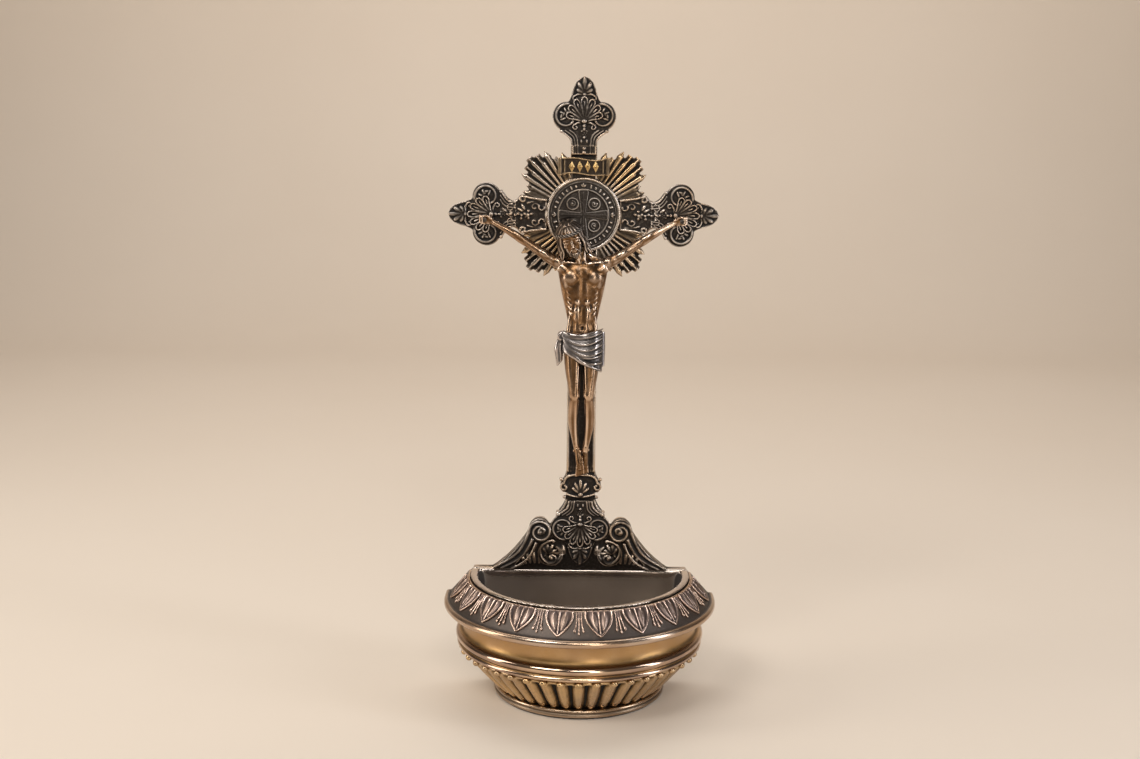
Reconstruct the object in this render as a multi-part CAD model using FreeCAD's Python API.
"""Holy water stoup: a half-round bowl on a flat back plate, with a crucifix rising from the plate.

Millimetres, +Z up, the front faces -Y. The origin is where the axis of the half-round bowl
meets the surface that the stoup stands on. Every piece is a separate solid or group of solids.
"""

import FreeCAD
import Part

import math
import os

# ---------------------------------------------------------------- driving dimensions

# Fits
SEAT_GAP = 0.1            # clearance of a tongue, plug or liner in its seat
PIN_GAP = 0.05            # radial clearance of a pin or stud in its hole

# Depth of the whole object behind the axis of the half-round bowl
BOWL_STRAIGHT = 5.5       # straight run of every bowl moulding, from the axis to the back plate
BACK_PLATE_THICK = 4.5

# Foot and felt
FELT_THICK = 0.8
FELT_INSET = 1.2          # from the foot's edge to the felt's
FOOT_RADIUS = 36.7
FOOT_FLAT_HEIGHT = 1.6    # plain band at the bottom of the foot
FOOT_BEAD_RADIUS = 0.9    # round moulding on top of that band

# Gadrooned cup
CUP_HEIGHT = 18.1
CUP_FOOT_RADIUS = 34.0
CUP_TOP_RADIUS = 47.4     # where the slope of the cup ends, under the beads
CUP_NECK_RADIUS = 49.1    # plain neck that the bead string runs round
CUP_NECK_HEIGHT = 2.6
RIB_COUNT = 23
RIB_TOP_RADIUS = 2.75
RIB_FOOT_RADIUS = 1.9
RIB_SINK = 0.35           # share of a rib's radius that is let into the cup

# Bead string
BEAD_RADIUS = 1.15
BEAD_STRIP_DEPTH = 0.8
BEAD_STRIP_HEIGHT = 1.0

# Belt
BELT_HEIGHT = 15.7
BELT_RADIUS = 53.0        # over the round moulding of the belt
BELT_FILLET_RADIUS = 52.4
BELT_FILLET_HEIGHT = 2.4
BELT_TORUS_RADIUS = 2.1
BELT_WAIST_RADIUS = 49.6  # the hollow between the belt's round moulding and the rim
BELT_TOP_RADIUS = 51.2

# Rim
RIM_HEIGHT = 12.6
LIP_RADIUS = 58.0
LIP_BEAD_RADIUS = 1.8
FRIEZE_FOOT_RADIUS = 55.2
FRIEZE_TOP_RADIUS = 47.6
FRIEZE_HOLLOW = 0.35      # how far the frieze's slope is hollowed

# Leaves and darts of the frieze
LEAF_COUNT = 10
LEAF_WIDTH = 10.0
LEAF_LENGTH = 10.4
LEAF_THICK = 0.9
DART_WIDTH = 3.6
DART_LENGTH = 8.6
DART_THICK = 0.7
FRIEZE_MARGIN = 0.5       # from the top of the slope to the top of the leaves

# Water liner
LINER_FLANGE_INSET = 0.7  # from the top of the frieze's slope to the edge of the flange
LINER_FLANGE_WIDTH = 1.7  # from the edge of the flange to the liner's wall
LINER_FLANGE_THICK = 0.9
LINER_WALL = 1.7
LINER_BEND_RUN = 14.5     # width of the curve from the wall to the flat floor
LINER_FLOOR_THICK = 2.0
LINER_BEND_HEIGHT = 15.0  # height of the curve from the floor to the straight wall
LINER_BACK_WALL = 1.2

# Console above the bowl, part of the back plate
CONSOLE_HALF_WIDTH = 37.6
CONSOLE_WAIST_X = 27.5    # a point on the hollow flank
CONSOLE_WAIST_RISE = 9.2
CONSOLE_VOLUTE_X = 17.4
CONSOLE_VOLUTE_RISE = 18.2
CONSOLE_VOLUTE_RADIUS = 4.5
CONSOLE_PLATE_VOLUTE_RADIUS = 3.9
CONSOLE_CENTRE_HALF = 10.5
CONSOLE_CENTRE_RISE = 25.0
CONSOLE_SHOULDER = 4.0    # straight side of the plate's centre, below its top
BACK_PLATE_INSET = 0.6    # how far the plate's edge lies inside the bowl's mouldings
SCROLL_PROUD = 3.0        # how far the side scrolls stand out of the plate
SCROLL_WIDTH = 4.6
SCROLL_EYE_RADIUS = 1.5
SCROLL_EYE_PROUD = 0.9
LEAF_SCROLL_X = 12.6
LEAF_SCROLL_RISE = 7.2
LEAF_SCROLL_RADIUS = 5.6
LEAF_SCROLL_BAND = 1.6
LEAF_SCROLL_PROUD = 2.2

# Cross
CROSS_Z = 203.4           # height of the crossing
CROSS_FRONT_Y = 4.5
SHAFT_HALF_WIDTH = 6.1
SHAFT_BORDER = 1.1
SHAFT_BORDER_PROUD = 0.7
ARM_HALF_WIDTH = 5.4
BOSS_RADIUS = 15.6        # round boss behind the medal
KNOP_Z = 88.0
KNOP_HALF_WIDTH = 8.7
KNOP_HALF_HEIGHT = 2.6
LOWER_NECK_HALF_WIDTH = 5.7
LOWER_NECK_FLARE = 9.4
SHAFT_CURVE_HEIGHT = 5.5  # height of the hollow curve from the knop to the plain shaft
SHAFT_RUN_BEHIND = 2.0    # how far the glory's slot for the shaft runs past the rays
TENON_HALF_WIDTH = 3.6
TENON_LENGTH = 8.5
TENON_CHEEK = 1.4         # metal of the plate left behind the tenon

# Terminals: three on the arms and one on the console
TERMINAL_REACH = 56.0     # from the crossing to the tip of a terminal
TERMINAL_FRONT_Y = 3.0
LOBE_OFFSET = 7.1
LOBE_RADIUS = 5.85
TIP_LENGTH = 16.2         # from the line of the lobes to the tip
NECK_LENGTH = 12.0        # from the line of the lobes to the end of the neck
NECK_FLARE = 9.5
TERMINAL_CORE_RADIUS = 8.4
LOBE_RIM_WIDTH = 0.9
LOBE_RIM_PROUD = 0.7
SHELL_PETALS = 7
SHELL_LENGTH = 9.2
SHELL_SIDE_SHARE = 0.72   # outer petals' length over the middle one's
SHELL_SPREAD = 74.0       # degrees from the middle petal to the last
SHELL_PROUD = 1.1
PETAL_HALF_WIDTH = 1.05
TONGUE_HALF_WIDTH = 3.4
TONGUE_LENGTH = 8.0
TONGUE_THICK = 2.6
LOWER_TERMINAL_Z = 70.2   # line of the lobes of the terminal on the console
LOWER_TERMINAL_FRONT_Y = 2.6

# Glory of rays behind the crossing
RAY_COUNT = 9             # in each corner
RAY_SPREAD = 50.0         # degrees that the rays of one corner cover
RAY_LONG = 32.3
RAY_SHORT = 24.4
RAY_ROOT = 12.0
RAY_BASE_FRONT_Y = 7.4
RAY_RIDGE = 1.7
GLORY_DISC_RADIUS = 19.0
GLORY_DISC_THICK = 2.0

# Medal
MEDAL_RADIUS = 14.1
MEDAL_THICK = 1.3
MEDAL_RING_RADIUS = 0.6
MEDAL_CROSS_HALF = 10.2
MEDAL_CROSS_WIDTH = 2.0
MEDAL_CROSS_FLARE = 3.8
MEDAL_CROSS_PROUD = 0.5

# Title scroll
TITLE_GAP_BELOW = 0.6      # from the medal's moulding to the scroll
TITLE_GAP_ABOVE = 4.5      # from the scroll to the neck of the upper terminal
TITLE_HALF_WIDTH = 9.4
TITLE_WAVE = 0.9
TITLE_THICK = 1.3
TITLE_ROLL_RADIUS = 1.15
TITLE_ROLL_OVER = 0.5      # how far the rolled ends stand past the scroll
TITLE_STUDS = 4
TITLE_STUD_PITCH = 3.4
TITLE_STUD_HALF = 1.0
TITLE_STUD_SHARE = 0.25    # half height of a lozenge over the scroll's height
TITLE_STUD_PROUD = 0.5

# Figure. Heights are taken down from the crossing, and depths from the front of the cross.
BODY_GAP = 1.6            # from the cross to the back of the chest
SHOULDER_DROP = 20.4
SHOULDER_HALF = 8.3
NECK_DROP = 17.2
CHEST_DROP = 27.0
CHEST_HALF = 8.3
CHEST_DEPTH = 9.4
WAIST_DROP = 43.5
WAIST_HALF = 5.9
WAIST_DEPTH = 7.6
HIP_DROP = 52.5
HIP_HALF = 7.4
HIP_DEPTH = 9.4
CROTCH_DROP = 61.0
KNEE_DROP = 75.4
KNEE_X = 3.0
KNEE_FORWARD = 10.6       # the knees' centres from the front of the cross
THIGH_X = 4.1
THIGH_RADIUS = 4.0
KNEE_RADIUS = 2.6
CALF_RADIUS = 2.55
CALF_DROP = 84.5
CALF_X = 3.9
ANKLE_DROP = 99.0
ANKLE_X = 1.5
ANKLE_RADIUS = 1.35
ANKLE_FORWARD = 3.4
FOOT_DROP = 108.2         # the toes
FOOT_STACK = 1.9          # one foot lies on the other, by this much
FOOT_HALF_WIDTH = 1.75
HEAD_X = -4.0
HEAD_DROP = 10.6
HEAD_FORWARD = 7.4
HEAD_HALF_WIDTH = 4.6
HEAD_HALF_DEPTH = 5.1
HEAD_HALF_HEIGHT = 6.4
NECK_RADIUS = 2.9
HAND_X = 40.6
HAND_DROP = 2.2
HAND_HALF_LENGTH = 3.4
HAND_HALF_WIDTH = 2.1
HAND_HALF_THICK = 1.25
HAND_GAP = 0.3            # from the terminal's shell to the back of the hand
WRIST_X = 36.4
WRIST_DROP = 3.6
WRIST_RADIUS = 1.35
ELBOW_X = 21.8
ELBOW_DROP = 12.2
ELBOW_RADIUS = 2.0
UPPER_ARM_RADIUS = 2.75
FOREARM_RADIUS = 2.2
ARM_ROOT_RADIUS = 3.1
ARM_SOCKET_LENGTH = 1.6   # plug of the arm that is let into the shoulder
ARM_SOCKET_RADIUS = 1.5

# Loincloth and crown
CLOTH_THICK = 1.3
CLOTH_TOP_DROP = 47.5
CLOTH_FOOT_DROP = 63.5
CLOTH_KNOT_RADIUS = 2.2
CLOTH_TAIL_LENGTH = 12.5
CLOTH_HEM_SLOPE = 0.25    # fall of the hem towards the left hip, over the distance across
CROWN_RADIUS = 5.0
CROWN_WIRE_RADIUS = 0.75

# Fixings
NAIL_RADIUS = 0.5
NAIL_HEAD_RADIUS = 1.0
NAIL_HEAD_THICK = 0.5
NAIL_BITE = 3.0           # depth of a nail in the cross
STUD_RADIUS = 1.5
STUD_BITE = 3.2
PLATE_SCREW_RADIUS = 1.0
PLATE_SCREW_LENGTH = 9.0
PLATE_SCREW_HEAD_RADIUS = 1.9
GLORY_SCREW_RADIUS = 0.8
GLORY_SCREW_LENGTH = 3.6
GLORY_SCREW_HEAD_RADIUS = 1.5
GLORY_SCREW_X = 9.0
TENON_PIN_RADIUS = 1.0
HANG_HOLE_RADIUS = 2.5
HANG_HOLE_DEPTH = 4.5
HANG_HOLE_OFFSET = 2.0    # above the line of the upper terminal's lobes

# ---------------------------------------------------------------- sizes that follow

BACK_Y = BOWL_STRAIGHT + BACK_PLATE_THICK
FOOT_Z = FELT_THICK
CUP_Z = FOOT_Z + FOOT_FLAT_HEIGHT + 2 * FOOT_BEAD_RADIUS
BELT_Z = CUP_Z + CUP_HEIGHT
RIM_Z = BELT_Z + BELT_HEIGHT
RIM_TOP_Z = RIM_Z + RIM_HEIGHT
BOWL_TOP_Z = RIM_TOP_Z + LINER_FLANGE_THICK
LINER_FLANGE_RADIUS = FRIEZE_TOP_RADIUS - LINER_FLANGE_INSET
LINER_OUTER_RADIUS = LINER_FLANGE_RADIUS - LINER_FLANGE_WIDTH
LINER_MOUTH_RADIUS = LINER_OUTER_RADIUS - LINER_WALL
LINER_FLOOR_RADIUS = LINER_MOUTH_RADIUS - LINER_BEND_RUN
BORE_RADIUS = LINER_OUTER_RADIUS + SEAT_GAP
NECK_TOP_Z = BELT_Z - CUP_NECK_HEIGHT
CONSOLE_TOP_Z = BOWL_TOP_Z + CONSOLE_CENTRE_RISE
CHEST_BACK_Y = CROSS_FRONT_Y - BODY_GAP
HAND_Y = TERMINAL_FRONT_Y - SHELL_PROUD - HAND_GAP - HAND_HALF_THICK
CROSS_BACK_Y = BACK_Y


def vec(x, y, z):
    return FreeCAD.Vector(x, y, z)


UP = vec(0, 0, 1)
ORIGIN = vec(0, 0, 0)


def edges_of(start, moves, place):
    """Lines and arcs from start. A move is an end point, or a pair: a point passed and the end point."""
    edges = []
    here = start
    for move in moves:
        if isinstance(move[0], tuple):
            passed, end = move
            edges.append(Part.Arc(place(here), place(passed), place(end)).toShape())
        else:
            end = move
            edges.append(Part.LineSegment(place(here), place(end)).toShape())
        here = end
    return edges


def closed_face(start, moves, place):
    """A flat face whose outline starts at start and runs through the moves, back to start."""
    return Part.Face(Part.Wire(edges_of(start, list(moves) + [start], place)))


def section(start, *moves):
    """A face in the plane of radius and height, at the front edge of the bowl's straight run."""
    return closed_face(start, moves, lambda p: vec(p[0], 0, p[1]))


def front_prism(start, moves, front_y, back_y):
    """An outline in x and z, as a solid from front_y back to back_y."""
    face = closed_face(start, moves, lambda p: vec(p[0], front_y, p[1]))
    return face.extrude(vec(0, back_y - front_y, 0))


def mirrored(shape):
    return shape.mirror(ORIGIN, vec(1, 0, 0))


def one_solid(first, *others):
    """The union of overlapping shapes, with seams between flat faces removed."""
    return first.multiFuse(list(others)).removeSplitter() if others else first


def half_round(face, straight):
    """Turns a section about the bowl's axis through the front half circle, then runs it straight back."""
    front = face.revolve(ORIGIN, vec(0, 0, -1), 180)
    if straight <= 0:
        return front
    right = face.extrude(vec(0, straight, 0))
    return one_solid(front, right, mirrored(right))


def post(radius, x, z, front_y, back_y):
    """A round bar along Y."""
    return Part.makeCylinder(radius, back_y - front_y, vec(x, front_y, z), vec(0, 1, 0))


def block(half_width, low_z, high_z, front_y, back_y, x=0.0):
    corner = vec(x - half_width, front_y, low_z)
    return Part.makeBox(2 * half_width, back_y - front_y, high_z - low_z, corner)


def ellipsoid(centre, half_x, half_y, half_z):
    stretch = FreeCAD.Matrix()
    stretch.scale(half_x, half_y, half_z)
    ball = Part.makeSphere(1.0).transformGeometry(stretch)
    ball.translate(centre)
    return ball


def oval(centre, half_x, half_y, normal=UP):
    """A closed oval wire about centre; half_x lies across and half_y runs front to back."""
    across = vec(0, 1, 0).cross(normal)
    if across.Length < 1e-6:
        across = vec(1, 0, 0)
    across.normalize()
    depth = normal.cross(across)
    depth.normalize()
    long_first = half_x >= half_y
    major, minor = (half_x, half_y) if long_first else (half_y, half_x)
    axis = across if long_first else depth
    if abs(major - minor) < 1e-6:
        return Part.Wire(Part.Circle(centre, normal, major).toShape())
    ellipse = Part.Ellipse(
        centre + axis * major,
        centre + normal.cross(axis).normalize() * minor,
        centre,
    )
    return Part.Wire(ellipse.toShape())


def limb(stations):
    """A smooth solid through round or oval stations: (centre, half across, half deep)."""
    wires = []
    for i, (centre, half_x, half_y) in enumerate(stations):
        before = stations[max(i - 1, 0)][0]
        after = stations[min(i + 1, len(stations) - 1)][0]
        normal = after - before
        normal.normalize()
        wires.append(oval(centre, half_x, half_y, normal))
    return Part.makeLoft(wires, True, False)


# ---------------------------------------------------------------- bowl


def felt_pad():
    radius = FOOT_RADIUS - FELT_INSET
    face = section((0, 0), (radius, 0), (radius, FELT_THICK), (0, FELT_THICK))
    return half_round(face, BACK_Y - FELT_INSET)


def foot_ring():
    band_top = FOOT_Z + FOOT_FLAT_HEIGHT
    inner = FOOT_RADIUS - FOOT_BEAD_RADIUS
    bead_mid = (FOOT_RADIUS, band_top + FOOT_BEAD_RADIUS)
    face = section(
        (0, FOOT_Z),
        (FOOT_RADIUS, FOOT_Z),
        (FOOT_RADIUS, band_top),
        (inner, band_top),
        (bead_mid, (inner, CUP_Z)),
        (0, CUP_Z),
    )
    return half_round(face, BOWL_STRAIGHT)


def gadroon_rib():
    """One rib of the cup, a long round drop lying up the slope."""
    rise = NECK_TOP_Z - CUP_Z
    run = CUP_TOP_RADIUS - CUP_FOOT_RADIUS
    length = math.hypot(rise, run)
    foot, top = RIB_FOOT_RADIUS, RIB_TOP_RADIUS
    low, high = foot, length - top
    face = closed_face(
        (0, 0),
        [((foot * 0.7071, foot * 0.2929), (foot, low)), (top, high),
         ((top * 0.7071, high + top * 0.7071), (0, length))],
        lambda p: vec(p[0], 0, p[1]),
    )
    rib = face.revolve(ORIGIN, UP, 360)
    slope = math.degrees(math.atan2(run, rise))
    rib.rotate(ORIGIN, vec(0, 1, 0), slope)
    out = foot * (1 - RIB_SINK) - foot
    rib.translate(vec(CUP_FOOT_RADIUS + out * math.cos(math.radians(slope)), 0,
                      CUP_Z - out * math.sin(math.radians(slope))))
    return rib


def rib_angles():
    """Degrees round the front half circle, from the +X side to the -X side."""
    return [180.0 * i / (RIB_COUNT - 1) for i in range(RIB_COUNT)]


def gadroon_cup():
    face = section(
        (0, CUP_Z),
        (CUP_FOOT_RADIUS, CUP_Z),
        (CUP_TOP_RADIUS, NECK_TOP_Z),
        (CUP_NECK_RADIUS, NECK_TOP_Z),
        (CUP_NECK_RADIUS, BELT_Z),
        (0, BELT_Z),
    )
    core = half_round(face, BOWL_STRAIGHT)
    keep = half_round(section((0, CUP_Z), (LIP_RADIUS, CUP_Z), (LIP_RADIUS, NECK_TOP_Z), (0, NECK_TOP_Z)),
                      BOWL_STRAIGHT)
    rib = gadroon_rib()
    ribs = []
    for angle in rib_angles():
        turned = rib.copy()
        turned.rotate(ORIGIN, UP, -angle)
        ribs.append(turned.common(keep))
    return one_solid(core, *ribs)


def bead_string():
    """A row of round studs on a flat strip, in the corner between the cup's neck and its ribs."""
    height = NECK_TOP_Z + BEAD_RADIUS + SEAT_GAP / 2
    inner = CUP_NECK_RADIUS + SEAT_GAP / 2
    outer = inner + BEAD_STRIP_DEPTH
    low, high = height - BEAD_STRIP_HEIGHT / 2, height + BEAD_STRIP_HEIGHT / 2
    strip = half_round(section((inner, low), (outer, low), (outer, high), (inner, high)), BOWL_STRAIGHT)
    start = inner + BEAD_STRIP_DEPTH / 4
    reach = inner + 2 * BEAD_RADIUS - start
    beads = []
    for angle in rib_angles():
        bead = Part.makeCylinder(BEAD_RADIUS, reach, vec(start, 0, height), vec(1, 0, 0))
        bead.rotate(ORIGIN, UP, -angle)
        beads.append(bead)
    return one_solid(strip, *beads)


def belt_band():
    fillet_top = BELT_Z + BELT_FILLET_HEIGHT
    torus_in = BELT_RADIUS - BELT_TORUS_RADIUS
    torus_top = fillet_top + 2 * BELT_TORUS_RADIUS
    waist_z = (torus_top + RIM_Z) / 2
    face = section(
        (BORE_RADIUS, BELT_Z),
        (BELT_FILLET_RADIUS, BELT_Z),
        (BELT_FILLET_RADIUS, fillet_top),
        (torus_in, fillet_top),
        ((BELT_RADIUS, fillet_top + BELT_TORUS_RADIUS), (torus_in, torus_top)),
        ((BELT_WAIST_RADIUS, waist_z), (BELT_TOP_RADIUS, RIM_Z)),
        (BORE_RADIUS, RIM_Z),
    )
    return half_round(face, BOWL_STRAIGHT)


def frieze_points():
    """Foot, middle and top of the hollowed slope that carries the leaves, as radius and height."""
    foot = (FRIEZE_FOOT_RADIUS, RIM_Z + 2 * LIP_BEAD_RADIUS)
    top = (FRIEZE_TOP_RADIUS, RIM_TOP_Z)
    run, rise = foot[0] - top[0], top[1] - foot[1]
    length = math.hypot(run, rise)
    middle = ((foot[0] + top[0]) / 2 - FRIEZE_HOLLOW * rise / length,
              (foot[1] + top[1]) / 2 - FRIEZE_HOLLOW * run / length)
    return foot, middle, top


def rim_moulding():
    foot, middle, top = frieze_points()
    lip_in = LIP_RADIUS - LIP_BEAD_RADIUS
    face = section(
        (BORE_RADIUS, RIM_Z),
        (lip_in, RIM_Z),
        ((LIP_RADIUS, RIM_Z + LIP_BEAD_RADIUS), (lip_in, foot[1])),
        foot,
        (middle, top),
        (BORE_RADIUS, RIM_TOP_Z),
    )
    return half_round(face, BOWL_STRAIGHT)


def on_frieze(shape, angle, rim):
    """Lays a piece drawn flat, with its top at the origin and its length along -Z, on the slope."""
    foot, _, top = frieze_points()
    run, rise = foot[0] - top[0], top[1] - foot[1]
    lean = math.degrees(math.atan2(run, rise))
    length = math.hypot(run, rise)
    share = FRIEZE_MARGIN / length
    shape.rotate(ORIGIN, vec(0, 1, 0), -lean)
    shape.translate(vec(top[0] + run * share, 0, top[1] - rise * share))
    shape.rotate(ORIGIN, UP, -angle)
    return shape.cut(rim)


def leaf_blank(half_width, length, thick):
    """A pointed leaf, tip down, with spare thickness behind x = 0 so that it can be cut to fit."""
    shoulder = length * 0.42
    face = closed_face(
        (-half_width * 0.72, 0),
        [(half_width * 0.72, 0),
         ((half_width * 0.97, -shoulder * 0.5), (half_width * 0.9, -shoulder)),
         ((half_width * 0.5, -length * 0.8), (0, -length)),
         ((-half_width * 0.5, -length * 0.8), (-half_width * 0.9, -shoulder))],
        lambda p: vec(-thick - FRIEZE_HOLLOW, p[0], p[1]),
    )
    return face.extrude(vec(2 * thick + FRIEZE_HOLLOW, 0, 0))


def rim_leaves(rim):
    step = 180.0 / LEAF_COUNT
    leaf = leaf_blank(LEAF_WIDTH / 2, LEAF_LENGTH, LEAF_THICK)
    return Part.Compound([on_frieze(leaf.copy(), step * (i + 0.5), rim) for i in range(LEAF_COUNT)])


def rim_darts(rim):
    """Small three-fingered sprays between the leaves."""
    step = 180.0 / LEAF_COUNT
    finger = DART_WIDTH / 6
    darts = []
    for i in range(1, LEAF_COUNT):
        fingers = []
        for side in (-1, 0, 1):
            reach = DART_LENGTH * (1.0 if side == 0 else 0.93)
            outer = side * 2 * finger
            face = closed_face(
                (outer * 0.45 - finger * 0.9, 0),
                [(outer * 0.45 + finger * 0.9, 0), (outer + finger, -reach + finger),
                 ((outer, -reach), (outer - finger, -reach + finger))],
                lambda p: vec(-DART_THICK - FRIEZE_HOLLOW, p[0], p[1]),
            )
            fingers.append(face.extrude(vec(2 * DART_THICK + FRIEZE_HOLLOW, 0, 0)))
        darts.append(on_frieze(one_solid(*fingers), step * i, rim))
    return Part.Compound(darts)


def water_liner():
    flange_low = RIM_TOP_Z
    floor_top = BELT_Z + LINER_FLOOR_THICK
    outer_face = section(
        (0, BELT_Z),
        (LINER_OUTER_RADIUS, BELT_Z),
        (LINER_OUTER_RADIUS, flange_low),
        (LINER_FLANGE_RADIUS, flange_low),
        (LINER_FLANGE_RADIUS, BOWL_TOP_Z),
        (0, BOWL_TOP_Z),
    )
    water_face = section(
        (0, floor_top),
        (LINER_FLOOR_RADIUS, floor_top),
        ((LINER_FLOOR_RADIUS + LINER_BEND_RUN * 0.7071, floor_top + LINER_BEND_HEIGHT * 0.2929),
         (LINER_MOUTH_RADIUS, floor_top + LINER_BEND_HEIGHT)),
        (LINER_MOUTH_RADIUS, BOWL_TOP_Z + 1),
        (0, BOWL_TOP_Z + 1),
    )
    outside = BOWL_STRAIGHT - SEAT_GAP
    return half_round(outer_face, outside).cut(half_round(water_face, outside - LINER_BACK_WALL))


# ---------------------------------------------------------------- back plate and console


def console_outline():
    """Right half of the console's outline above the bowl, from the bowl's edge to the centre."""
    base = BOWL_TOP_Z
    volute = (CONSOLE_VOLUTE_X, base + CONSOLE_VOLUTE_RISE)
    reach = CONSOLE_PLATE_VOLUTE_RADIUS
    return volute, [
        (CONSOLE_HALF_WIDTH, base),
        ((CONSOLE_WAIST_X, base + CONSOLE_WAIST_RISE), (volute[0] + reach, volute[1])),
        ((volute[0], volute[1] + reach), (volute[0] - reach, volute[1])),
        (CONSOLE_CENTRE_HALF, CONSOLE_TOP_Z - CONSOLE_SHOULDER),
        (CONSOLE_CENTRE_HALF, CONSOLE_TOP_Z),
    ]


def back_plate(tenon):
    edge = BACK_PLATE_INSET
    belt_edge = BELT_WAIST_RADIUS - edge
    right = [
        (FOOT_RADIUS - edge, FOOT_Z),
        (FOOT_RADIUS - edge, CUP_Z),
        (CUP_FOOT_RADIUS, CUP_Z),
        (CUP_TOP_RADIUS - edge, NECK_TOP_Z),
        (belt_edge, BELT_Z),
        (belt_edge, RIM_Z),
        (FRIEZE_FOOT_RADIUS - edge, RIM_Z),
        (FRIEZE_FOOT_RADIUS - edge, RIM_Z + 2 * LIP_BEAD_RADIUS),
        (FRIEZE_TOP_RADIUS - edge - 1, RIM_TOP_Z),
        (FRIEZE_TOP_RADIUS - edge - 1, BOWL_TOP_Z),
    ] + console_outline()[1]
    start = (0, FOOT_Z)
    half = front_prism(start, right + [(0, CONSOLE_TOP_Z)], BOWL_STRAIGHT, BACK_Y)
    plate = one_solid(half, mirrored(half))
    return plate.cut(tenon)


def console_scroll():
    """Right-hand scroll: a band down the flank that rolls into a volute, with a raised eye."""
    base = BOWL_TOP_Z
    x, z = CONSOLE_VOLUTE_X, base + CONSOLE_VOLUTE_RISE
    radius = CONSOLE_VOLUTE_RADIUS
    front = BOWL_STRAIGHT - SCROLL_PROUD
    outer_mid = (CONSOLE_WAIST_X, base + CONSOLE_WAIST_RISE)
    flank = front_prism(
        (CONSOLE_HALF_WIDTH, base),
        [(outer_mid, (x + radius * 0.93, z)),
         (x, z - radius * 0.4),
         ((outer_mid[0] - SCROLL_WIDTH, outer_mid[1] - SCROLL_WIDTH * 0.25),
          (CONSOLE_HALF_WIDTH - SCROLL_WIDTH * 1.7, base))],
        front, BOWL_STRAIGHT,
    )
    roll = post(radius, x, z, front, BOWL_STRAIGHT)
    eye_front = front - SCROLL_EYE_PROUD
    eye = post(SCROLL_EYE_RADIUS, x - radius * 0.25, z - radius * 0.15, eye_front, BOWL_STRAIGHT)
    return one_solid(flank, roll, eye)


def console_leaf():
    """Right-hand inner scroll with the leaf that springs from it, low on the console."""
    x, z = LEAF_SCROLL_X, BOWL_TOP_Z + LEAF_SCROLL_RISE
    front = BOWL_STRAIGHT - LEAF_SCROLL_PROUD
    outer = LEAF_SCROLL_RADIUS
    inner = outer - LEAF_SCROLL_BAND
    ring = post(outer, x, z, front, BOWL_STRAIGHT).cut(post(inner, x, z, front - 1, BOWL_STRAIGHT + 1))
    low_edge, side = z - inner * 0.1, x - outer * 1.1
    open_side = block(outer, low_edge, z + outer * 2, front - 1, BOWL_STRAIGHT + 1, x=side)
    leaf_centre = vec(x - inner * 0.25, BOWL_STRAIGHT, z - outer * 0.5)
    leaf = ellipsoid(leaf_centre, inner, LEAF_SCROLL_PROUD, outer * 0.42)
    leaf = leaf.common(block(CONSOLE_HALF_WIDTH, BOWL_TOP_Z, CONSOLE_TOP_Z, front - 1, BOWL_STRAIGHT))
    return one_solid(ring.cut(open_side), leaf)


# ---------------------------------------------------------------- cross


def shaft_outline():
    """Right half of the shaft, from the console up to the crossing."""
    low = KNOP_Z - KNOP_HALF_HEIGHT
    high = KNOP_Z + KNOP_HALF_HEIGHT
    return [
        (LOWER_NECK_FLARE, CONSOLE_TOP_Z),
        ((LOWER_NECK_HALF_WIDTH * 1.16, (CONSOLE_TOP_Z + low) / 2), (LOWER_NECK_HALF_WIDTH, low)),
        (KNOP_HALF_WIDTH - KNOP_HALF_HEIGHT * 0.5, low),
        ((KNOP_HALF_WIDTH, KNOP_Z), (KNOP_HALF_WIDTH - KNOP_HALF_HEIGHT * 0.5, high)),
        ((SHAFT_HALF_WIDTH * 1.065, high + SHAFT_CURVE_HEIGHT * 0.36),
         (SHAFT_HALF_WIDTH, high + SHAFT_CURVE_HEIGHT)),
        (SHAFT_HALF_WIDTH, CROSS_Z),
    ]


def tenon_block(gap):
    front, back = CROSS_FRONT_Y - gap, BACK_Y - TENON_CHEEK + gap
    return block(TENON_HALF_WIDTH + gap, CONSOLE_TOP_Z - TENON_LENGTH - gap, CONSOLE_TOP_Z, front, back)


def arm_end():
    """Where an arm of the cross ends and its terminal's neck begins, from the crossing."""
    return TERMINAL_REACH - TIP_LENGTH - NECK_LENGTH


def turned_to(shape, direction):
    """Turns a shape built pointing up from the crossing to 'up', 'left' or 'right'."""
    turn = {"up": 0, "left": -90, "right": 90}[direction]
    shape.rotate(vec(0, 0, CROSS_Z), vec(0, 1, 0), turn)
    return shape


def arm_bar(half_width, front_y, back_y):
    return block(half_width, CROSS_Z, CROSS_Z + arm_end(), front_y, back_y)


def cross_body(gap, front_y, back_y):
    """Arms, boss and shaft as one outline, grown by gap."""
    half = ARM_HALF_WIDTH + gap
    arms = [turned_to(arm_bar(half, front_y, back_y), way) for way in ("up", "left", "right")]
    boss = post(BOSS_RADIUS + gap, 0, CROSS_Z, front_y, back_y)
    shaft = block(SHAFT_HALF_WIDTH + gap, CROSS_Z - RAY_LONG - SHAFT_RUN_BEHIND, CROSS_Z, front_y, back_y)
    return one_solid(boss, shaft, *arms)


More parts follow.
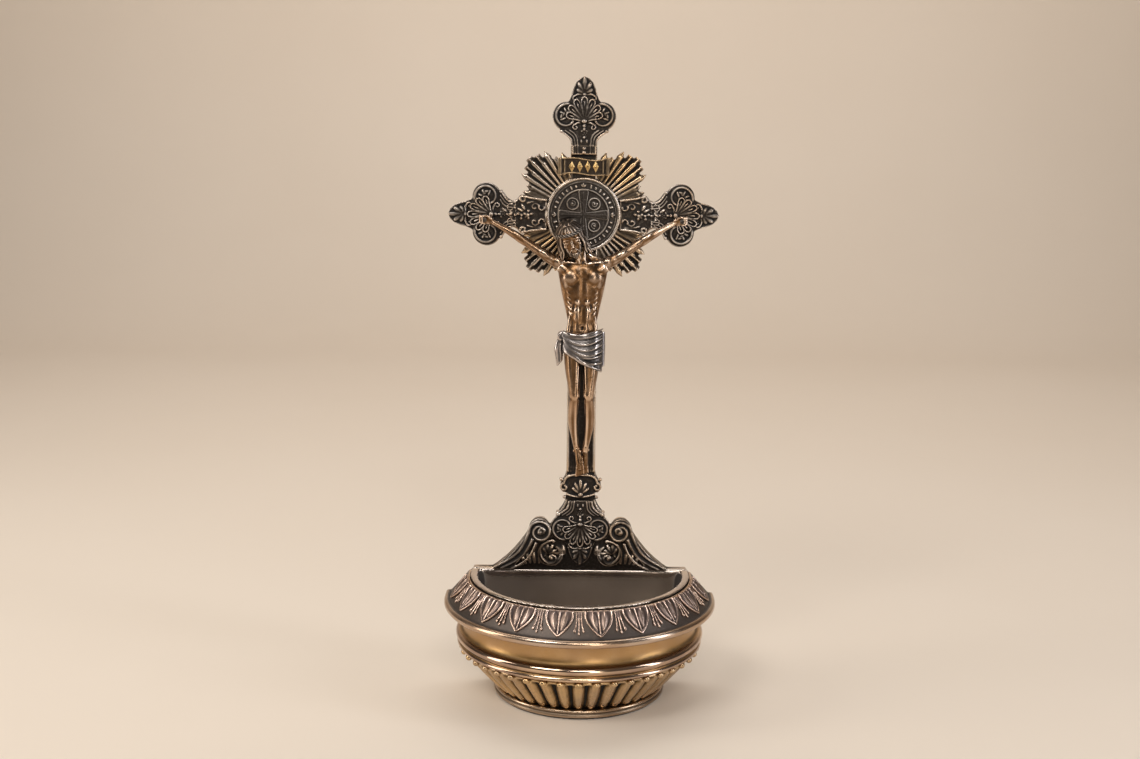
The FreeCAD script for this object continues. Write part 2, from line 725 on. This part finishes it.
def cross_plate():
    half = front_prism((0, CONSOLE_TOP_Z), shaft_outline() + [(0, CROSS_Z)], CROSS_FRONT_Y, CROSS_BACK_Y)
    body = one_solid(half, mirrored(half), cross_body(0, CROSS_FRONT_Y, CROSS_BACK_Y), tenon_block(0))
    border_low = KNOP_Z + KNOP_HALF_HEIGHT + SHAFT_CURVE_HEIGHT + SHAFT_BORDER / 2
    border_high = CROSS_Z - BOSS_RADIUS
    border_front = CROSS_FRONT_Y - SHAFT_BORDER_PROUD
    border = block(SHAFT_BORDER / 2, border_low, border_high, border_front, CROSS_FRONT_Y + 1,
                   x=SHAFT_HALF_WIDTH - SHAFT_BORDER / 2)
    tongues = []
    for way in ("up", "left", "right"):
        tongue = block(TONGUE_HALF_WIDTH, CROSS_Z + arm_end() - 1, CROSS_Z + arm_end() + TONGUE_LENGTH,
                       CROSS_BACK_Y - TONGUE_THICK, CROSS_BACK_Y)
        tongues.append(turned_to(tongue, way))
    body = one_solid(body, border, mirrored(border), *tongues)
    seat_front = CROSS_BACK_Y - GLORY_DISC_THICK
    glory_seat = post(GLORY_DISC_RADIUS + SEAT_GAP, 0, CROSS_Z, seat_front, CROSS_BACK_Y + 1)
    body = body.cut(glory_seat)
    for hole in glory_screw_places():
        body = body.cut(post(GLORY_SCREW_RADIUS + PIN_GAP, hole[0], hole[1], glory_screw_front() - SEAT_GAP,
                             CROSS_BACK_Y))
    stud_end = CROSS_FRONT_Y + STUD_BITE + SEAT_GAP
    for stud in stud_places():
        body = body.cut(post(STUD_RADIUS + PIN_GAP, 0, stud, CROSS_FRONT_Y - 1, stud_end))
    nail_end = CROSS_FRONT_Y + NAIL_BITE + SEAT_GAP
    foot_hole = post(NAIL_RADIUS + PIN_GAP, 0, foot_nail_z(), CROSS_FRONT_Y - 2, nail_end)
    pin_hole = tenon_pin(PIN_GAP)
    return body.cut(foot_hole).cut(pin_hole)


def tenon_pin(gap):
    """A dowel through the back of the plate into the tenon."""
    return post(TENON_PIN_RADIUS + gap, 0, CONSOLE_TOP_Z - TENON_LENGTH / 2, CROSS_FRONT_Y + 1 - gap, BACK_Y)


def terminal_outline(front_y, back_y, line_z):
    """The plain outline of a terminal that points up, with the line of its lobes at line_z."""
    neck_z = line_z - NECK_LENGTH
    lobes = [post(LOBE_RADIUS, side * LOBE_OFFSET, line_z, front_y, back_y) for side in (-1, 1)]
    core = post(TERMINAL_CORE_RADIUS, 0, line_z, front_y, back_y)
    tip = line_z + TIP_LENGTH
    crown_half = LOBE_OFFSET + 0.4
    half = front_prism(
        (0, neck_z),
        [(ARM_HALF_WIDTH, neck_z),
         ((ARM_HALF_WIDTH + 0.5, neck_z + NECK_LENGTH * 0.22), (NECK_FLARE, line_z - NECK_LENGTH * 0.5)),
         (crown_half, line_z + LOBE_RADIUS * 0.7),
         (crown_half * 0.62, line_z + TIP_LENGTH * 0.6),
         (crown_half * 0.5, line_z + TIP_LENGTH * 0.78),
         ((crown_half * 0.22, tip - TIP_LENGTH * 0.05), (0, tip))],
        front_y, back_y,
    )
    return one_solid(half, mirrored(half), core, *lobes)


def petal(length, half_width, front_y, back_y, angle, x, z):
    """A rounded petal from (x, z), turned by angle from upright."""
    tip = z + length - half_width
    shape = front_prism(
        (x - half_width * 0.45, z),
        [(x + half_width * 0.45, z), (x + half_width, tip), ((x, tip + half_width), (x - half_width, tip))],
        front_y, back_y,
    )
    shape.rotate(vec(x, 0, z), vec(0, 1, 0), angle)
    return shape


def terminal(line_z, front_y, back_y):
    """A trefoil terminal: plate, rims round the lobes, a shell in the middle and a palmette at the tip."""
    plate = terminal_outline(front_y, back_y, line_z)
    extras = []
    for side in (-1, 1):
        x = side * LOBE_OFFSET
        rim = post(LOBE_RADIUS, x, line_z, front_y - LOBE_RIM_PROUD, front_y + 1)
        extras.append(rim.cut(post(LOBE_RADIUS - LOBE_RIM_WIDTH, x, line_z, front_y - 2, front_y + 2)))
    root = line_z - 1.4
    for i in range(SHELL_PETALS):
        share = 2.0 * i / (SHELL_PETALS - 1) - 1.0
        length = SHELL_LENGTH * (1 - (1 - SHELL_SIDE_SHARE) * abs(share))
        extras.append(petal(length, PETAL_HALF_WIDTH, front_y - SHELL_PROUD, front_y + 1,
                            share * SHELL_SPREAD, 0, root))
    palm_root = line_z + TIP_LENGTH * 0.6
    for share in (-1, -0.5, 0, 0.5, 1):
        length = TIP_LENGTH * (0.36 - 0.1 * abs(share))
        extras.append(petal(length, PETAL_HALF_WIDTH * 0.75, front_y - SHELL_PROUD * 0.7, front_y + 1,
                            share * SHELL_SPREAD * 0.85, 0, palm_root))
    return one_solid(plate, *extras)


def arm_terminal(way):
    line_z = CROSS_Z + TERMINAL_REACH - TIP_LENGTH
    shape = terminal(line_z, TERMINAL_FRONT_Y, CROSS_BACK_Y)
    pocket = block(TONGUE_HALF_WIDTH + SEAT_GAP, CROSS_Z + arm_end() - 1,
                   CROSS_Z + arm_end() + TONGUE_LENGTH + SEAT_GAP,
                   CROSS_BACK_Y - TONGUE_THICK - SEAT_GAP, CROSS_BACK_Y + 1)
    shape = shape.cut(pocket)
    if way == "up":
        hole_end = CROSS_BACK_Y - HANG_HOLE_DEPTH
        shape = shape.cut(post(HANG_HOLE_RADIUS, 0, line_z + HANG_HOLE_OFFSET, hole_end, CROSS_BACK_Y + 1))
    shape = turned_to(shape, way)
    if way != "up":
        side = {"left": -1, "right": 1}[way]
        hole = post(NAIL_RADIUS + PIN_GAP, side * HAND_X, CROSS_Z - HAND_DROP, HAND_Y - HAND_HALF_THICK - 1,
                    nail_end_y(TERMINAL_FRONT_Y) + SEAT_GAP)
        shape = shape.cut(hole)
    return shape


def lower_terminal(others):
    """The terminal on the console, pointing down, with its back cut to the faces behind it."""
    shape = terminal(LOWER_TERMINAL_Z, LOWER_TERMINAL_FRONT_Y, BOWL_STRAIGHT)
    shape.rotate(vec(0, 0, LOWER_TERMINAL_Z), vec(0, 1, 0), 180)
    for other in others:
        shape = shape.cut(other)
    return max(shape.Solids, key=lambda solid: solid.Volume)


def ray(angle, reach, half_pitch):
    """One ridged ray, wide at its end, pointing up from the crossing and turned by angle."""
    def profile(radius):
        half = radius * math.tan(math.radians(half_pitch))
        z = CROSS_Z + radius
        corners = [(-half, CROSS_BACK_Y), (-half, RAY_BASE_FRONT_Y), (0, RAY_BASE_FRONT_Y - RAY_RIDGE),
                   (half, RAY_BASE_FRONT_Y), (half, CROSS_BACK_Y)]
        points = [vec(x, y, z) for x, y in corners]
        return Part.makePolygon(points + [points[0]])
    shape = Part.makeLoft([profile(RAY_ROOT), profile(reach)], True, True)
    shape.rotate(vec(0, 0, CROSS_Z), vec(0, 1, 0), angle)
    return shape


def ray_burst():
    """Four fans of rays on one disc, cut clear of the cross that lies in front of it."""
    pitch = RAY_SPREAD / RAY_COUNT
    rays = []
    for corner in (45, 135, 225, 315):
        for i in range(RAY_COUNT):
            offset = (i - (RAY_COUNT - 1) / 2) * pitch
            fall = min(1.0, abs(offset) / (RAY_SPREAD * 0.38)) ** 1.4
            rays.append(ray(corner + offset, RAY_LONG - (RAY_LONG - RAY_SHORT) * fall, pitch / 2))
    fans = one_solid(*rays).cut(cross_body(SEAT_GAP, CROSS_FRONT_Y - 2, CROSS_BACK_Y + 1))
    disc = post(GLORY_DISC_RADIUS, 0, CROSS_Z, CROSS_BACK_Y - GLORY_DISC_THICK + SEAT_GAP, CROSS_BACK_Y)
    shape = one_solid(disc, *fans.Solids)
    for x, z in glory_screw_places():
        shape = shape.cut(countersunk(GLORY_SCREW_RADIUS + PIN_GAP, GLORY_SCREW_HEAD_RADIUS + PIN_GAP,
                                      GLORY_SCREW_LENGTH, x, z, CROSS_BACK_Y))
    return shape


# ---------------------------------------------------------------- medal and title


def medal_disc():
    back = CROSS_FRONT_Y
    return post(MEDAL_RADIUS, 0, CROSS_Z, back - MEDAL_THICK, back)


def medal_ring():
    """The round moulding about the medal, seated on the boss."""
    front = CROSS_FRONT_Y - MEDAL_THICK
    ring = Part.makeTorus(MEDAL_RADIUS + MEDAL_RING_RADIUS, MEDAL_RING_RADIUS, ORIGIN, vec(0, 1, 0))
    ring.translate(vec(0, front, CROSS_Z))
    collar = post(MEDAL_RADIUS + 2 * MEDAL_RING_RADIUS, 0, CROSS_Z, front, CROSS_FRONT_Y)
    inside = post(MEDAL_RADIUS, 0, CROSS_Z, front - MEDAL_RING_RADIUS * 2, CROSS_FRONT_Y + 1)
    return one_solid(ring, collar).cut(inside)


def medal_cross():
    """A plain cross with flared ends in low relief on the medal."""
    front = CROSS_FRONT_Y - MEDAL_THICK - MEDAL_CROSS_PROUD
    back = CROSS_FRONT_Y - MEDAL_THICK
    half, flare = MEDAL_CROSS_WIDTH / 2, MEDAL_CROSS_FLARE / 2
    arm = front_prism(
        (-half, CROSS_Z),
        [(half, CROSS_Z), (half, CROSS_Z + MEDAL_CROSS_HALF * 0.6), (flare, CROSS_Z + MEDAL_CROSS_HALF),
         (-flare, CROSS_Z + MEDAL_CROSS_HALF), (-half, CROSS_Z + MEDAL_CROSS_HALF * 0.6)],
        front, back,
    )
    arms = []
    for turn in (0, 90, 180, 270):
        copy = arm.copy()
        copy.rotate(vec(0, 0, CROSS_Z), vec(0, 1, 0), turn)
        arms.append(copy)
    return one_solid(*arms)


def title_edges():
    """Heights of the lower and upper edge of the title scroll."""
    low = CROSS_Z + MEDAL_RADIUS + 2 * MEDAL_RING_RADIUS + TITLE_GAP_BELOW
    return low, CROSS_Z + arm_end() - TITLE_GAP_ABOVE


def title_scroll():
    front = CROSS_FRONT_Y - TITLE_THICK
    low, high = title_edges()
    half = TITLE_HALF_WIDTH
    panel = front_prism(
        (-half, low),
        [((-half / 2, low + TITLE_WAVE), (0, low)), ((half / 2, low - TITLE_WAVE), (half, low)),
         (half, high),
         ((half / 2, high - TITLE_WAVE), (0, high)), ((-half / 2, high + TITLE_WAVE), (-half, high))],
        front, CROSS_FRONT_Y,
    )
    rolls = []
    for side in (-1, 1):
        foot_point = vec(side * half, CROSS_FRONT_Y - TITLE_ROLL_RADIUS, low - TITLE_ROLL_OVER)
        rolls.append(Part.makeCylinder(TITLE_ROLL_RADIUS, high - low + 2 * TITLE_ROLL_OVER, foot_point))
    return one_solid(panel, *rolls)


def title_studs():
    """A row of plain lozenges on the title scroll."""
    front = CROSS_FRONT_Y - TITLE_THICK - TITLE_STUD_PROUD
    back = CROSS_FRONT_Y - TITLE_THICK
    low, high = title_edges()
    middle, tall = (low + high) / 2, (high - low) * TITLE_STUD_SHARE
    studs = []
    for i in range(TITLE_STUDS):
        x = (i - (TITLE_STUDS - 1) / 2) * TITLE_STUD_PITCH
        corners = [(x + TITLE_STUD_HALF, middle), (x, middle + tall), (x - TITLE_STUD_HALF, middle)]
        studs.append(front_prism((x, middle - tall), corners, front, back))
    return Part.Compound(studs)


# ---------------------------------------------------------------- figure


def at(x, forward, drop):
    """A point of the figure: across, in front of the cross, and down from the crossing."""
    return vec(x, CROSS_FRONT_Y - forward, CROSS_Z - drop)


def body_forward():
    return BODY_GAP + CHEST_DEPTH / 2


def torso():
    mid = body_forward()
    return limb([
        (at(0, mid + 0.6, NECK_DROP), NECK_RADIUS, NECK_RADIUS),
        (at(0, mid, SHOULDER_DROP), SHOULDER_HALF * 0.86, CHEST_DEPTH * 0.34),
        (at(0, mid, CHEST_DROP), CHEST_HALF, CHEST_DEPTH / 2),
        (at(0, mid - 0.2, (CHEST_DROP + WAIST_DROP) / 2), (CHEST_HALF + WAIST_HALF) / 2, CHEST_DEPTH * 0.46),
        (at(0, mid, WAIST_DROP), WAIST_HALF, WAIST_DEPTH / 2),
        (at(0, mid + 0.8, HIP_DROP), HIP_HALF, HIP_DEPTH / 2),
        (at(0, mid + 1.6, CROTCH_DROP), HIP_HALF * 0.9, HIP_DEPTH * 0.45),
    ])


def leg(side):
    hip = at(side * THIGH_X * 0.9, body_forward() + 1.0, HIP_DROP)
    thigh = at(side * THIGH_X, (body_forward() + KNEE_FORWARD) / 2 + 0.6, CROTCH_DROP)
    knee = at(side * KNEE_X, KNEE_FORWARD, KNEE_DROP)
    calf = at(side * CALF_X, (KNEE_FORWARD + ANKLE_FORWARD) / 2 - 0.6, CALF_DROP)
    ankle = at(side * ANKLE_X, foot_forward(side), ANKLE_DROP)
    return limb([
        (hip, THIGH_RADIUS * 0.9, THIGH_RADIUS * 0.95),
        (thigh, THIGH_RADIUS * 0.95, THIGH_RADIUS),
        (knee, KNEE_RADIUS, KNEE_RADIUS),
        (calf, CALF_RADIUS, CALF_RADIUS),
        (ankle, ANKLE_RADIUS, ANKLE_RADIUS),
    ])


def foot_forward(side):
    """The left foot lies on the right one."""
    return ANKLE_FORWARD + (FOOT_STACK / 2 if side < 0 else -FOOT_STACK / 2)


def foot(side):
    forward = foot_forward(side)
    return limb([
        (at(side * ANKLE_X, forward, ANKLE_DROP - 1.5), ANKLE_RADIUS * 0.95, ANKLE_RADIUS * 0.95),
        (at(side * ANKLE_X * 0.6, forward + 0.2, ANKLE_DROP + 2.0), FOOT_HALF_WIDTH * 0.8, ANKLE_RADIUS),
        (at(0, forward + 0.2, (ANKLE_DROP + FOOT_DROP) / 2 + 1), FOOT_HALF_WIDTH, ANKLE_RADIUS * 0.75),
        (at(0, forward + 0.2, FOOT_DROP), FOOT_HALF_WIDTH * 0.7, ANKLE_RADIUS * 0.45),
    ])


def foot_nail_z():
    return CROSS_Z - (ANKLE_DROP + FOOT_DROP) / 2 - 0.5


def stud_places():
    """Heights of the studs that hold the body to the shaft."""
    return [CROSS_Z - CHEST_DROP + 1.0]


def head():
    skull = ellipsoid(at(HEAD_X, HEAD_FORWARD, HEAD_DROP),
                      HEAD_HALF_WIDTH, HEAD_HALF_DEPTH, HEAD_HALF_HEIGHT)
    neck = limb([
        (at(0, body_forward() + 0.4, SHOULDER_DROP), NECK_RADIUS, NECK_RADIUS),
        (at(HEAD_X * 0.4, body_forward() + 0.8, (SHOULDER_DROP + HEAD_DROP) / 2 + 2),
         NECK_RADIUS, NECK_RADIUS),
        (at(HEAD_X * 0.8, HEAD_FORWARD - 0.4, HEAD_DROP + 1.0), NECK_RADIUS, NECK_RADIUS),
    ])
    return [skull, neck]


def shoulder(side):
    return at(side * SHOULDER_HALF, body_forward() - 0.4, SHOULDER_DROP + 0.6)


def arm_line(side):
    """Stations of an arm from the shoulder to the wrist."""
    elbow = at(side * ELBOW_X, body_forward() - 1.6, ELBOW_DROP)
    wrist = vec(side * WRIST_X, HAND_Y, CROSS_Z - WRIST_DROP)
    start = shoulder(side)
    upper = start * 0.55 + elbow * 0.45
    fore = elbow * 0.62 + wrist * 0.38
    return start, upper, elbow, fore, wrist


def arm_plug(side, gap):
    """The round plug by which an arm is let into the shoulder."""
    start, upper = arm_line(side)[:2]
    way = start - upper
    way.normalize()
    reach = ARM_SOCKET_LENGTH + gap
    return Part.makeCylinder(ARM_SOCKET_RADIUS + gap, reach + 0.5, start - way * 0.5, way)


def arm(side):
    start, upper, elbow, fore, wrist = arm_line(side)
    palm = vec(side * (HAND_X - 1.5), HAND_Y, CROSS_Z - HAND_DROP - 0.3)
    shape = limb([
        (start, ARM_ROOT_RADIUS, ARM_ROOT_RADIUS),
        (upper, UPPER_ARM_RADIUS, UPPER_ARM_RADIUS),
        (elbow, ELBOW_RADIUS, ELBOW_RADIUS),
        (fore, FOREARM_RADIUS, FOREARM_RADIUS),
        (wrist, WRIST_RADIUS, WRIST_RADIUS * 0.85),
        (palm, WRIST_RADIUS, HAND_HALF_THICK * 0.7),
    ])
    hand = ellipsoid(ORIGIN, HAND_HALF_LENGTH, HAND_HALF_THICK, HAND_HALF_WIDTH)
    hand.rotate(ORIGIN, vec(0, 1, 0), -side * 18)
    hand.translate(vec(side * (HAND_X - 1.0), HAND_Y, CROSS_Z - HAND_DROP))
    nail_hole = post(NAIL_RADIUS + PIN_GAP, side * HAND_X, CROSS_Z - HAND_DROP, HAND_Y - 4, HAND_Y + 4)
    return shape.fuse(hand).fuse(arm_plug(side, 0)).cut(nail_hole)


def corpus_body(arms):
    body = one_solid(torso(), leg(-1), leg(1), foot(-1), foot(1), *head())
    for other in arms:
        body = body.cut(other)
    for side in (-1, 1):
        body = body.cut(arm_plug(side, PIN_GAP))
    for z in stud_places():
        body = body.cut(post(STUD_RADIUS + PIN_GAP, 0, z, stud_front_y(), CROSS_FRONT_Y + 1))
    body = body.cut(post(NAIL_RADIUS + PIN_GAP, 0, foot_nail_z(), CROSS_FRONT_Y - 12, CROSS_FRONT_Y + 1))
    return max(body.Solids, key=lambda solid: solid.Volume)


def loincloth(body):
    """A wrap about the hips, lower on one side, with a knot and a hanging tail on the other."""
    mid = body_forward()
    wide, deep = HIP_HALF + CLOTH_THICK, HIP_DEPTH / 2 + CLOTH_THICK
    middle_drop = (HIP_DROP + CLOTH_FOOT_DROP) / 2
    wrap = limb([
        (at(0, mid + 0.3, CLOTH_TOP_DROP), WAIST_HALF + CLOTH_THICK + 0.4, WAIST_DEPTH / 2 + CLOTH_THICK),
        (at(0, mid + 0.8, HIP_DROP), wide, deep),
        (at(0, mid + 1.4, middle_drop), wide, deep),
        (at(0.4, mid + 2.2, CLOTH_FOOT_DROP), wide - CLOTH_THICK * 0.4, deep),
    ])
    foot_z = CROSS_Z - CLOTH_FOOT_DROP
    side = 4 * HIP_HALF
    below = front_prism(
        (-side, foot_z + CLOTH_HEM_SLOPE * side),
        [(side, foot_z - CLOTH_HEM_SLOPE * side), (side, foot_z - side), (-side, foot_z - side)],
        CROSS_FRONT_Y - side, CROSS_FRONT_Y + side,
    )
    knot_at = at(-HIP_HALF - CLOTH_THICK * 0.6, mid + 0.5, CLOTH_TOP_DROP + 1.5)
    knot = Part.makeSphere(CLOTH_KNOT_RADIUS, knot_at)
    tail = limb([
        (knot_at + vec(0, 0, 0.5), CLOTH_KNOT_RADIUS * 0.6, CLOTH_KNOT_RADIUS * 0.5),
        (knot_at + vec(-1.2, 0, -CLOTH_TAIL_LENGTH / 2), CLOTH_KNOT_RADIUS * 0.8, CLOTH_KNOT_RADIUS * 0.6),
        (knot_at + vec(-0.9, 0, -CLOTH_TAIL_LENGTH), CLOTH_KNOT_RADIUS * 0.9, CLOTH_KNOT_RADIUS * 0.5),
    ])
    cloth = one_solid(wrap.cut(below), knot, tail).cut(body)
    return max(cloth.Solids, key=lambda solid: solid.Volume)


def crown_of_twigs(body):
    """A band of twisted twigs about the head, cut to its seat on the hair."""
    centre = at(HEAD_X, HEAD_FORWARD, HEAD_DROP - HEAD_HALF_HEIGHT * 0.3)
    ring = Part.makeTorus(CROWN_RADIUS, CROWN_WIRE_RADIUS, ORIGIN, vec(0.12, -0.3, 1))
    ring.translate(centre)
    return ring.cut(body)


# ---------------------------------------------------------------- fixings


def nail_end_y(seat_y):
    return seat_y + NAIL_BITE


def hand_nail(side):
    front = HAND_Y - HAND_HALF_THICK - NAIL_HEAD_THICK * 0.2
    x, z = side * HAND_X, CROSS_Z - HAND_DROP
    return one_solid(post(NAIL_RADIUS, x, z, front, nail_end_y(TERMINAL_FRONT_Y)),
                     post(NAIL_HEAD_RADIUS, x, z, front - NAIL_HEAD_THICK, front))


def foot_nail():
    front = CROSS_FRONT_Y - foot_forward(-1) - ANKLE_RADIUS - 0.2
    return one_solid(post(NAIL_RADIUS, 0, foot_nail_z(), front, CROSS_FRONT_Y + NAIL_BITE),
                     post(NAIL_HEAD_RADIUS, 0, foot_nail_z(), front - NAIL_HEAD_THICK, front))


def stud_front_y():
    """The hidden end of a stud, inside the chest."""
    return CHEST_BACK_Y - CHEST_DEPTH * 0.45


def corpus_stud():
    front, back = stud_front_y() + SEAT_GAP, CROSS_FRONT_Y + STUD_BITE
    return Part.Compound([post(STUD_RADIUS, 0, z, front, back) for z in stud_places()])


def countersunk(radius, head_radius, length, x, z, back_y):
    """A countersunk screw whose flat head is flush with back_y and whose shank points to the front."""
    depth = head_radius - radius
    cone = Part.makeCone(radius, head_radius, depth, vec(x, back_y - depth, z), vec(0, 1, 0))
    return one_solid(post(radius, x, z, back_y - length, back_y - depth), cone)


def glory_screw_places():
    return [(side * GLORY_SCREW_X, CROSS_Z) for side in (-1, 1)]


def glory_screw_front():
    return CROSS_BACK_Y - GLORY_SCREW_LENGTH


def glory_screws():
    return Part.Compound([countersunk(GLORY_SCREW_RADIUS, GLORY_SCREW_HEAD_RADIUS, GLORY_SCREW_LENGTH, x, z,
                                      CROSS_BACK_Y) for x, z in glory_screw_places()])


def plate_screw_places():
    """Places on the back plate where a screw enters the solid wall of each bowl moulding."""
    belt_x = (BORE_RADIUS + BELT_WAIST_RADIUS) / 2
    rim_x = (BORE_RADIUS + FRIEZE_TOP_RADIUS) / 2 + 1.8
    places = [
        (FOOT_RADIUS * 0.62, (CUP_Z + NECK_TOP_Z) / 2),
        (belt_x, (BELT_Z + RIM_Z) / 2),
        (rim_x, RIM_Z + RIM_HEIGHT * 0.4),
    ]
    return [(side * x, z) for x, z in places for side in (-1, 1)]


def plate_screws(radius_gap=0.0):
    return [countersunk(PLATE_SCREW_RADIUS + radius_gap, PLATE_SCREW_HEAD_RADIUS + radius_gap,
                        PLATE_SCREW_LENGTH + 2 * radius_gap, x, z, BACK_Y) for x, z in plate_screw_places()]


def drilled(shape):
    """The shape with the plate screws' holes in it."""
    for screw in plate_screws(PIN_GAP):
        shape = shape.cut(screw)
    return shape


# ---------------------------------------------------------------- assembly


def build():
    rim = rim_moulding()
    plate = back_plate(one_solid(tenon_block(SEAT_GAP), tenon_pin(PIN_GAP)))
    cross = cross_plate()
    left_arm = arm(-1)
    arms = [left_arm, mirrored(left_arm)]
    body = corpus_body(arms)
    right_scroll = console_scroll()
    right_leaf = console_leaf()
    bottom = lower_terminal([cross, right_scroll, mirrored(right_scroll), plate])
    leaf = right_leaf.cut(bottom)
    return {
        "felt_pad": felt_pad(),
        "foot_ring": foot_ring(),
        "gadroon_cup": drilled(gadroon_cup()),
        "bead_string": bead_string(),
        "belt_band": drilled(belt_band()),
        "rim_moulding": drilled(rim),
        "rim_leaves": rim_leaves(rim),
        "rim_darts": rim_darts(rim),
        "water_liner": water_liner(),
        "back_plate": drilled(plate),
        "console_scroll_left": mirrored(right_scroll),
        "console_scroll_right": right_scroll,
        "console_leaves": Part.Compound([leaf, mirrored(leaf)]),
        "cross_plate": cross,
        "terminal_top": arm_terminal("up"),
        "terminal_left": arm_terminal("left"),
        "terminal_right": arm_terminal("right"),
        "terminal_bottom": bottom,
        "ray_burst": ray_burst(),
        "medal_disc": medal_disc(),
        "medal_ring": medal_ring(),
        "medal_cross": medal_cross(),
        "title_scroll": title_scroll(),
        "title_studs": title_studs(),
        "corpus_body": body,
        "corpus_arm_left": arms[0],
        "corpus_arm_right": arms[1],
        "loincloth": loincloth(body),
        "crown_band": crown_of_twigs(body),
        "hand_nails": Part.Compound([hand_nail(-1), hand_nail(1)]),
        "foot_nail": foot_nail(),
        "corpus_stud": corpus_stud(),
        "tenon_pin": tenon_pin(0),
        "glory_screws": glory_screws(),
        "plate_screws": Part.Compound(plate_screws()),
    }


def main():
    os.makedirs("parts", exist_ok=True)
    for name, shape in build().items():
        shape.exportStep(f"parts/{name}.step")
        print(f"{name}: {len(shape.Solids)} solid, {shape.Volume:.1f} mm3, valid {shape.isValid()}")


main()
